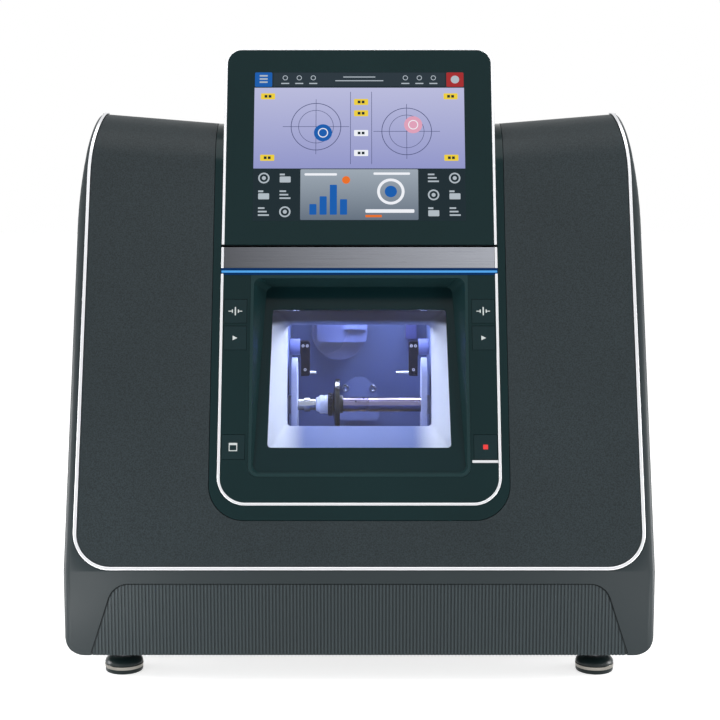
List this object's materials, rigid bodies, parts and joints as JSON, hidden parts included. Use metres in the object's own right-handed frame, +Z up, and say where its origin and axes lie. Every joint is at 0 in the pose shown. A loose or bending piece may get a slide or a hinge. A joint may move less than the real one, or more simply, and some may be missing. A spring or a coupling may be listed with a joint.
{
  "type": "automatic lens edger",
  "caption": "Countertop machine that grinds and drills spectacle lenses behind a sliding window, with a sloped front, a tilting screen, a key console and levelling feet.",
  "frame": {"origin": "on the table under the middle of the machine, halfway along its width and depth", "axes": "+X to the operator's right, +Y away from the operator towards the back, +Z up"},
  "size_m": [0.553, 0.5056, 0.5968],
  "materials": {
    "strip_grey": "satin dark grey moulding",
    "cover_grain": "fine grained charcoal moulding",
    "rib_black": "satin black ribs",
    "trim_silver": "bright satin anodised",
    "console_gloss": "glossy green-black",
    "key_gloss": "glossy key cap with a printed symbol",
    "name_steel": "fine horizontal brushing",
    "light_blue": "lit blue diffuser",
    "display_shell": "fine texture",
    "display_glass": "clear front with a printed black border",
    "lcd": "lit screen",
    "shell_grey": "satin dark grey moulding",
    "pan_steel": "powder coated folded sheet",
    "foot_black": "black rubber with a plated band",
    "casting": "cast and machined",
    "steel": "ground",
    "motor_black": "black stoved paint",
    "belt": "black",
    "wheel_grit": "sintered bronze bonded grit",
    "tub": "pale blue moulding",
    "door_black": "glossy black",
    "door_clear": "clear acrylic",
    "carriage": "machined",
    "shield": "satin dark",
    "cup": "pale cup with dark teeth",
    "lens": "polished blank",
    "pad": "soft black",
    "feeler": "satin black with a bright stylus",
    "drill": "satin black",
    "chrome": "polished",
    "box_grey": "powder coated",
    "fan_black": "black",
    "inlet_black": "black",
    "fittings": "turned",
    "screws": "zinc plated"
  },
  "bodies": {
    "chassis": {"front_surround": "strip_grey", "ribbed_panel": "rib_black", "front_cover": "cover_grain", "front_trim": "trim_silver", "console_surround": "console_gloss", "console_trim": "trim_silver", "console_panel": "console_gloss", "door_bezel": "console_gloss", "name_bar": "name_steel", "light_bar": "light_blue", "display_hinge_pins": "steel", "hood": "shell_grey", "right_side_cover": "shell_grey", "left_side_cover": "shell_grey", "base_pan": "pan_steel", "machine_casting": "casting", "guide_rods": "steel", "wheel_motor": "motor_black", "drive_belt": "belt", "chamber_tub": "tub", "splash_plate": "steel", "water_nozzle": "steel", "control_box": "box_grey", "fan_frame": "fan_black", "power_inlet": "inlet_black", "water_fittings": "fittings", "cover_screws": "screws"},
    "display": {"display_housing": "display_shell", "display_rim": "trim_silver", "display_glass": "display_glass", "lcd_panel": "lcd"},
    "door": {"door_frame": "door_black", "door_pane": "door_clear"},
    "left_clamp": {"left_clamp_key": "key_gloss"},
    "left_start": {"left_start_key": "key_gloss"},
    "door_button": {"door_key": "key_gloss"},
    "right_clamp": {"right_clamp_key": "key_gloss"},
    "right_start": {"right_start_key": "key_gloss"},
    "stop": {"stop_key": "key_gloss"},
    "carriage": {"carriage_frame": "carriage", "arm_shields": "shield"},
    "left_chuck": {"left_chuck_shaft": "steel", "block_cup": "cup", "lens": "lens"},
    "quill": {"clamp_quill": "steel"},
    "right_chuck": {"right_chuck_shaft": "chrome", "clamp_pad": "pad"},
    "spindle": {"wheel_spindle": "steel", "grinding_wheels": "wheel_grit"},
    "motor_rotor": {"motor_pulley": "steel"},
    "left_probe": {"left_feeler": "feeler"},
    "right_probe": {"right_feeler": "feeler"},
    "drill_turret": {"drill_head": "drill"},
    "drill_spindle": {"drill_bit": "chrome"},
    "fan": {"fan_rotor": "fan_black"},
    "rocker": {"power_rocker": "inlet_black"},
    "foot_front_left": {"front_left_foot": "foot_black"},
    "foot_front_right": {"front_right_foot": "foot_black"},
    "foot_rear_left": {"rear_left_foot": "foot_black"},
    "foot_rear_right": {"rear_right_foot": "foot_black"}
  },
  "joints": [
    {"name": "display_tilt", "type": "hinge", "parent": "chassis", "child": "display", "pos_m": [0, -0.12529, 0.40601], "axis": [1, 0, 0], "range_deg": [0, 15]},
    {"name": "door_slide", "type": "slide", "parent": "chassis", "child": "door", "axis": [0, 0.4848, 0.8746], "range_m": [0, 0.13]},
    {"name": "left_clamp_press", "type": "slide", "parent": "chassis", "child": "left_clamp", "axis": [0, 0.9272, -0.3746], "range_m": [0, 0.0012], "stiffness_N_per_m": 600, "springref_m": -0.0008},
    {"name": "left_start_press", "type": "slide", "parent": "chassis", "child": "left_start", "axis": [0, 0.9272, -0.3746], "range_m": [0, 0.0012], "stiffness_N_per_m": 600, "springref_m": -0.0008},
    {"name": "door_button_press", "type": "slide", "parent": "chassis", "child": "door_button", "axis": [0, 0.9272, -0.3746], "range_m": [0, 0.0012], "stiffness_N_per_m": 600, "springref_m": -0.0008},
    {"name": "right_clamp_press", "type": "slide", "parent": "chassis", "child": "right_clamp", "axis": [0, 0.9272, -0.3746], "range_m": [0, 0.0012], "stiffness_N_per_m": 600, "springref_m": -0.0008},
    {"name": "right_start_press", "type": "slide", "parent": "chassis", "child": "right_start", "axis": [0, 0.9272, -0.3746], "range_m": [0, 0.0012], "stiffness_N_per_m": 600, "springref_m": -0.0008},
    {"name": "stop_press", "type": "slide", "parent": "chassis", "child": "stop", "axis": [0, 0.9272, -0.3746], "range_m": [0, 0.0012], "stiffness_N_per_m": 600, "springref_m": -0.0008},
    {"name": "carriage_lift", "type": "slide", "parent": "chassis", "child": "carriage", "axis": [0, 0, 1], "range_m": [-0.015, 0.02]},
    {"name": "left_chuck_turn", "type": "hinge", "parent": "carriage", "child": "left_chuck", "pos_m": [0, -0.08, 0.2375], "axis": [1, 0, 0], "continuous": true},
    {"name": "clamp_slide", "type": "slide", "parent": "carriage", "child": "quill", "axis": [1, 0, 0], "range_m": [0, 0.025]},
    {"name": "right_chuck_turn", "type": "hinge", "parent": "quill", "child": "right_chuck", "pos_m": [0, -0.08, 0.2375], "axis": [1, 0, 0], "continuous": true},
    {"name": "spindle_turn", "type": "hinge", "parent": "chassis", "child": "spindle", "pos_m": [0, -0.062, 0.147], "axis": [1, 0, 0], "continuous": true},
    {"name": "motor_turn", "type": "hinge", "parent": "chassis", "child": "motor_rotor", "pos_m": [0, 0.13, 0.12], "axis": [1, 0, 0], "continuous": true},
    {"name": "left_probe_swing", "type": "hinge", "parent": "chassis", "child": "left_probe", "pos_m": [0, -0.045, 0.292], "axis": [1, 0, 0], "range_deg": [-70, 45]},
    {"name": "right_probe_swing", "type": "hinge", "parent": "chassis", "child": "right_probe", "pos_m": [0, -0.045, 0.292], "axis": [1, 0, 0], "range_deg": [-70, 45]},
    {"name": "drill_tilt", "type": "hinge", "parent": "chassis", "child": "drill_turret", "pos_m": [-0.021, 0, 0.304], "axis": [0, 1, 0], "range_deg": [-30, 30]},
    {"name": "drill_turn", "type": "hinge", "parent": "drill_turret", "child": "drill_spindle", "pos_m": [0, -0.0382, 0.3206], "axis": [1, 0, 0], "continuous": true},
    {"name": "fan_turn", "type": "hinge", "parent": "chassis", "child": "fan", "pos_m": [-0.15, 0, 0.4], "axis": [0, 1, 0], "continuous": true},
    {"name": "rocker_tilt", "type": "hinge", "parent": "chassis", "child": "rocker", "pos_m": [0.19, 0.232, 0.123], "axis": [-1, 0, 0], "range_deg": [0, 20]},
    {"name": "foot_front_left_turn", "type": "hinge", "parent": "chassis", "child": "foot_front_left", "pos_m": [-0.2265, -0.208, 0], "axis": [0, 0, 1], "continuous": true},
    {"name": "foot_front_right_turn", "type": "hinge", "parent": "chassis", "child": "foot_front_right", "pos_m": [0.2265, -0.208, 0], "axis": [0, 0, 1], "continuous": true},
    {"name": "foot_rear_left_turn", "type": "hinge", "parent": "chassis", "child": "foot_rear_left", "pos_m": [-0.2265, 0.208, 0], "axis": [0, 0, 1], "continuous": true},
    {"name": "foot_rear_right_turn", "type": "hinge", "parent": "chassis", "child": "foot_rear_right", "pos_m": [0.2265, 0.208, 0], "axis": [0, 0, 1], "continuous": true}
  ],
  "couplings": [
    {"joint": "left_chuck_turn", "follows": "right_chuck_turn", "ratio": 1},
    {"joint": "motor_turn", "follows": "spindle_turn", "ratio": 1.3}
  ]
}
